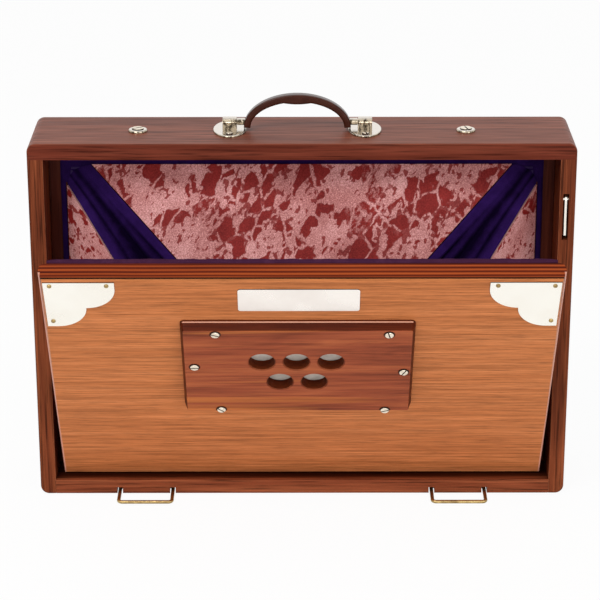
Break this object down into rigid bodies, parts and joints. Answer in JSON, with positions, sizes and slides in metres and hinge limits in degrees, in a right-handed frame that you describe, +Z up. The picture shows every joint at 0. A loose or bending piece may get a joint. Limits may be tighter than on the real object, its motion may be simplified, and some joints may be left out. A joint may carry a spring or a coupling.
{
  "type": "shruti box",
  "caption": "Drone box with a wooden case, a hinged pump board opening folded bellows, intake valve plate, tone levers, wire feet and a carrying handle.",
  "frame": {"origin": "centre of the case's flat underside, on the surface it stands on", "axes": "+X along the case's length to its right-hand end as seen from the pump board, +Z up, -Y towards the front where the pump board opens"},
  "size_m": [0.406, 0.1932, 0.3112],
  "materials": {
    "case_wood": "satin",
    "pan_wood": "satin",
    "tone_wood": "satin",
    "frame_wood": "satin",
    "skin_veneer": "satin",
    "valve_wood": "satin",
    "bellows_cloth": "matte",
    "marbled_card": "matte",
    "valve_leather": "matte",
    "nickel_plate": "polished",
    "screw_steel": "satin",
    "antique_brass": "satin",
    "handle_plastic": "satin",
    "lever_wood": "gloss"
  },
  "bodies": {
    "case": {"case_top": "case_wood", "case_bottom": "case_wood", "case_side_left": "case_wood", "case_side_right": "case_wood", "pan_board": "pan_wood", "chest_frame": "pan_wood", "tone_board": "tone_wood", "reeds": "antique_brass", "lever_screws": "screw_steel", "pan_hem": "bellows_cloth", "hinge_batten": "pan_wood", "hinge_leaves_case": "antique_brass", "cup_washers": "nickel_plate", "cup_screws": "screw_steel", "handle_plates": "nickel_plate", "handle_plate_screws": "screw_steel", "foot_straps": "antique_brass", "hook_pin": "screw_steel", "gusset_left": "bellows_cloth", "gusset_right": "bellows_cloth", "valley_cloth": "bellows_cloth"},
    "pump_board": {"pump_rail_top": "frame_wood", "pump_rail_bottom": "frame_wood", "pump_stile_left": "frame_wood", "pump_stile_right": "frame_wood", "pump_skin": "skin_veneer", "valve_plate": "valve_wood", "valve_plate_screws": "screw_steel", "nameplate": "nickel_plate", "corner_plates": "nickel_plate", "corner_pins": "antique_brass", "pump_hem": "bellows_cloth", "hinge_leaves_board": "antique_brass"},
    "top_rear_card": {"bellows_top_rear": "marbled_card"},
    "top_front_card": {"bellows_top_front": "marbled_card"},
    "side_rear_left_card": {"bellows_side_rear_left": "marbled_card"},
    "side_rear_right_card": {"bellows_side_rear_right": "marbled_card"},
    "side_front_left_card": {"bellows_side_front_left": "marbled_card"},
    "side_front_right_card": {"bellows_side_front_right": "marbled_card"},
    "intake_flap": {"intake_flap": "valve_leather"},
    "nonreturn_flap": {"nonreturn_flap": "valve_leather"},
    "handle": {"handle_grip": "handle_plastic", "handle_ferrules": "nickel_plate"},
    "foot_left": {"foot_left": "antique_brass"},
    "foot_right": {"foot_right": "antique_brass"},
    "swing_hook": {"swing_hook": "nickel_plate"},
    "tone_lever_1": {"tone_lever_1": "lever_wood"},
    "tone_lever_2": {"tone_lever_2": "lever_wood"},
    "tone_lever_3": {"tone_lever_3": "lever_wood"},
    "tone_lever_4": {"tone_lever_4": "lever_wood"},
    "tone_lever_5": {"tone_lever_5": "lever_wood"},
    "tone_lever_6": {"tone_lever_6": "lever_wood"},
    "tone_lever_7": {"tone_lever_7": "lever_wood"},
    "tone_lever_8": {"tone_lever_8": "lever_wood"},
    "tone_lever_9": {"tone_lever_9": "lever_wood"},
    "tone_lever_10": {"tone_lever_10": "lever_wood"},
    "tone_lever_11": {"tone_lever_11": "lever_wood"},
    "tone_lever_12": {"tone_lever_12": "lever_wood"},
    "tone_lever_13": {"tone_lever_13": "lever_wood"}
  },
  "joints": [
    {"name": "pump_hinge", "type": "hinge", "parent": "case", "child": "pump_board", "pos_m": [0, -0.0131, 0.0226], "axis": [1, 0, 0], "range_deg": [-32.2, 0], "deforming": ["gusset_left", "gusset_right", "valley_cloth"]},
    {"name": "top_rear_fold", "type": "hinge", "parent": "case", "child": "top_rear_card", "pos_m": [0, -0.0029, 0.257], "axis": [1, 0, 0], "range_deg": [0, 25.8]},
    {"name": "top_front_fold", "type": "hinge", "parent": "pump_board", "child": "top_front_card", "pos_m": [0, -0.13618, 0.22068], "axis": [1, 0, 0], "range_deg": [-25.8, 0]},
    {"name": "side_rear_left_fold", "type": "hinge", "parent": "case", "child": "side_rear_left_card", "pos_m": [-0.1766, -0.0029, 0.12], "axis": [0, 0, 1], "range_deg": [0, 45.2]},
    {"name": "side_rear_right_fold", "type": "hinge", "parent": "case", "child": "side_rear_right_card", "pos_m": [0.1766, -0.0029, 0.12], "axis": [0, 0, 1], "range_deg": [-45.2, 0]},
    {"name": "side_front_left_fold", "type": "hinge", "parent": "pump_board", "child": "side_front_left_card", "pos_m": [-0.1766, -0.06382, 0.10576], "axis": [0, -0.5329, 0.8462], "range_deg": [-45.2, 0]},
    {"name": "side_front_right_fold", "type": "hinge", "parent": "pump_board", "child": "side_front_right_card", "pos_m": [0.1766, -0.06382, 0.10576], "axis": [0, -0.5329, 0.8462], "range_deg": [0, 45.2]},
    {"name": "intake_valve", "type": "hinge", "parent": "pump_board", "child": "intake_flap", "pos_m": [-0.0042, -0.11727, 0.15968], "axis": [1, 0, 0], "range_deg": [0, 18]},
    {"name": "nonreturn_valve", "type": "hinge", "parent": "case", "child": "nonreturn_flap", "pos_m": [0, 0.0054, 0.158], "axis": [1, 0, 0], "range_deg": [0, 8]},
    {"name": "handle_swing", "type": "hinge", "parent": "case", "child": "handle", "pos_m": [-0.0034, 0, 0.2897], "axis": [1, 0, 0], "range_deg": [-82, 82]},
    {"name": "foot_left_fold", "type": "hinge", "parent": "case", "child": "foot_left", "pos_m": [-0.121, -0.0295, 0.0026], "axis": [1, 0, 0], "range_deg": [0, 178]},
    {"name": "foot_right_fold", "type": "hinge", "parent": "case", "child": "foot_right", "pos_m": [0.121, -0.0295, 0.0026], "axis": [1, 0, 0], "range_deg": [0, 178]},
    {"name": "hook_swing", "type": "hinge", "parent": "case", "child": "swing_hook", "pos_m": [0.1959, -0.0328, 0.2393], "axis": [1, 0, 0], "range_deg": [-105, 0]},
    {"name": "tone_swing_1", "type": "hinge", "parent": "case", "child": "tone_lever_1", "pos_m": [-0.165, 0.0207, 0.202], "axis": [0, 1, 0], "range_deg": [0, 30]},
    {"name": "tone_swing_2", "type": "hinge", "parent": "case", "child": "tone_lever_2", "pos_m": [-0.1375, 0.0207, 0.202], "axis": [0, 1, 0], "range_deg": [0, 30]},
    {"name": "tone_swing_3", "type": "hinge", "parent": "case", "child": "tone_lever_3", "pos_m": [-0.11, 0.0207, 0.202], "axis": [0, 1, 0], "range_deg": [0, 30]},
    {"name": "tone_swing_4", "type": "hinge", "parent": "case", "child": "tone_lever_4", "pos_m": [-0.0825, 0.0207, 0.202], "axis": [0, 1, 0], "range_deg": [0, 30]},
    {"name": "tone_swing_5", "type": "hinge", "parent": "case", "child": "tone_lever_5", "pos_m": [-0.055, 0.0207, 0.202], "axis": [0, 1, 0], "range_deg": [0, 30]},
    {"name": "tone_swing_6", "type": "hinge", "parent": "case", "child": "tone_lever_6", "pos_m": [-0.0275, 0.0207, 0.202], "axis": [0, 1, 0], "range_deg": [0, 30]},
    {"name": "tone_swing_7", "type": "hinge", "parent": "case", "child": "tone_lever_7", "pos_m": [0, 0.0207, 0.202], "axis": [0, 1, 0], "range_deg": [0, 30]},
    {"name": "tone_swing_8", "type": "hinge", "parent": "case", "child": "tone_lever_8", "pos_m": [0.0275, 0.0207, 0.202], "axis": [0, 1, 0], "range_deg": [0, 30]},
    {"name": "tone_swing_9", "type": "hinge", "parent": "case", "child": "tone_lever_9", "pos_m": [0.055, 0.0207, 0.202], "axis": [0, 1, 0], "range_deg": [0, 30]},
    {"name": "tone_swing_10", "type": "hinge", "parent": "case", "child": "tone_lever_10", "pos_m": [0.0825, 0.0207, 0.202], "axis": [0, 1, 0], "range_deg": [0, 30]},
    {"name": "tone_swing_11", "type": "hinge", "parent": "case", "child": "tone_lever_11", "pos_m": [0.11, 0.0207, 0.202], "axis": [0, 1, 0], "range_deg": [0, 30]},
    {"name": "tone_swing_12", "type": "hinge", "parent": "case", "child": "tone_lever_12", "pos_m": [0.1375, 0.0207, 0.202], "axis": [0, 1, 0], "range_deg": [0, 30]},
    {"name": "tone_swing_13", "type": "hinge", "parent": "case", "child": "tone_lever_13", "pos_m": [0.165, 0.0207, 0.202], "axis": [0, 1, 0], "range_deg": [0, 30]}
  ],
  "couplings": [
    {"joint": "top_rear_fold", "follows": "pump_hinge", "ratio": -0.8},
    {"joint": "top_front_fold", "follows": "pump_hinge", "ratio": 0.8},
    {"joint": "side_rear_left_fold", "follows": "pump_hinge", "ratio": -1.4},
    {"joint": "side_rear_right_fold", "follows": "pump_hinge", "ratio": 1.4},
    {"joint": "side_front_left_fold", "follows": "pump_hinge", "ratio": 1.4},
    {"joint": "side_front_right_fold", "follows": "pump_hinge", "ratio": -1.4}
  ]
}
